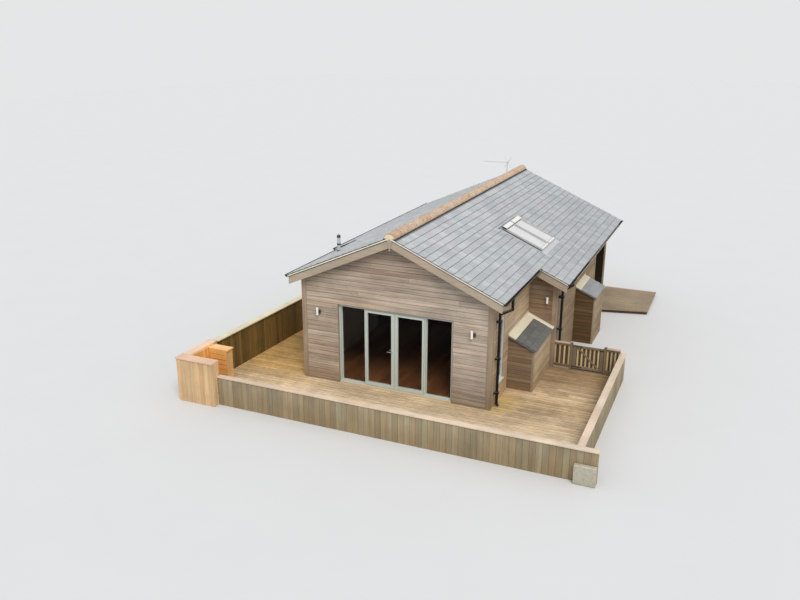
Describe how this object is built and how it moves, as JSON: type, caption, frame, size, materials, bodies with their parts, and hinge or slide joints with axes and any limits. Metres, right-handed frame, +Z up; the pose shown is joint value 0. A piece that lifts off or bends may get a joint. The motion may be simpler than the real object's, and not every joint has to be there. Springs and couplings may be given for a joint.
{
  "type": "beach hut",
  "caption": "Timber-clad beach hut with a stepped slate roof, glazed French doors, a side extension with a porch, cupboards, a fenced deck and a picket gate.",
  "frame": {"origin": "middle of the hut's plan, between its side walls and between its gable walls, on the underside of the floor at ground level", "axes": "+Z up, +Y from the glazed front gable to the back gable, +X towards the side extension and its porch"},
  "size_m": [10.2092, 13.583, 4.446],
  "materials": {
    "cladding": "weathered horizontal boards",
    "trim_wood": "weathered planed boards",
    "corner_wood": "weathered planed boards",
    "slate": "riven slate",
    "terracotta": "matt fired clay",
    "black_plastic": "satin",
    "flue_metal": "satin",
    "aerial_metal": "dull",
    "roof_window_metal": "satin",
    "roof_glass": "polished, pale blind behind",
    "window_paint": "satin",
    "window_glass": "polished",
    "door_paint": "satin",
    "door_glass": "polished",
    "lamp_metal": "brushed",
    "handle_metal": "brushed",
    "floor_wood": "dark boards",
    "deck_wood": "grooved weathered boards",
    "frame_wood": "sawn",
    "wall_boards": "weathered boards with pale caps",
    "fence_boards": "dark stained boards with a pale cap",
    "new_wood": "fresh sawn",
    "picket_wood": "weathered"
  },
  "bodies": {
    "hut": {"floor": "floor_wood", "front_wall_left": "cladding", "front_wall_right": "cladding", "front_gable": "cladding", "left_wall": "cladding", "right_wall": "cladding", "return_wall": "cladding", "extension_wall": "cladding", "porch_side_wall": "cladding", "porch_inner_wall": "cladding", "porch_end_wall": "cladding", "back_wall": "cladding", "roof_left": "slate", "roof_right": "slate", "extension_roof": "slate", "ridge": "terracotta", "front_bargeboards": "trim_wood", "back_bargeboards": "trim_wood", "fascias": "trim_wood", "gutters": "black_plastic", "downpipes": "black_plastic", "flue": "flue_metal", "aerial": "aerial_metal", "roof_windows": "roof_window_metal", "roof_panes": "roof_glass", "side_window": "window_paint", "side_window_pane": "window_glass", "corner_boards": "corner_wood", "wall_lamps": "lamp_metal", "door_frame": "door_paint", "side_lights": "door_paint", "side_light_panes": "door_glass", "front_cupboard": "cladding", "back_cupboard": "cladding", "cupboard_roofs": "slate", "deck": "deck_wood", "deck_frame": "frame_wood", "rear_platform": "deck_wood", "front_low_wall": "wall_boards", "right_low_wall": "wall_boards", "left_fence": "fence_boards", "corner_store": "new_wood", "picket_fence": "picket_wood"},
    "left_door": {"left_leaf": "door_paint", "left_leaf_pane": "door_glass"},
    "right_door": {"right_leaf": "door_paint", "right_leaf_pane": "door_glass"},
    "lever": {"door_handle": "handle_metal"},
    "gate": {"gate": "picket_wood"}
  },
  "joints": [
    {"name": "left_door_hinge", "type": "hinge", "parent": "hut", "child": "left_door", "pos_m": [-0.76, -5.441, 1.2], "axis": [0, 0, -1], "range_deg": [0, 90]},
    {"name": "right_door_hinge", "type": "hinge", "parent": "hut", "child": "right_door", "pos_m": [0.8, -5.441, 1.2], "axis": [0, 0, 1], "range_deg": [0, 90]},
    {"name": "gate_hinge", "type": "hinge", "parent": "hut", "child": "gate", "pos_m": [3.739, -2.259, 0.5], "axis": [0, 0, -1], "range_deg": [0, 90]},
    {"name": "lever_turn", "type": "hinge", "parent": "left_door", "child": "lever", "pos_m": [-0.038, -5.441, 1.2], "axis": [0, -1, 0], "range_deg": [0, 35], "stiffness_Nm_per_rad": 1.5, "springref_deg": -34.38}
  ]
}
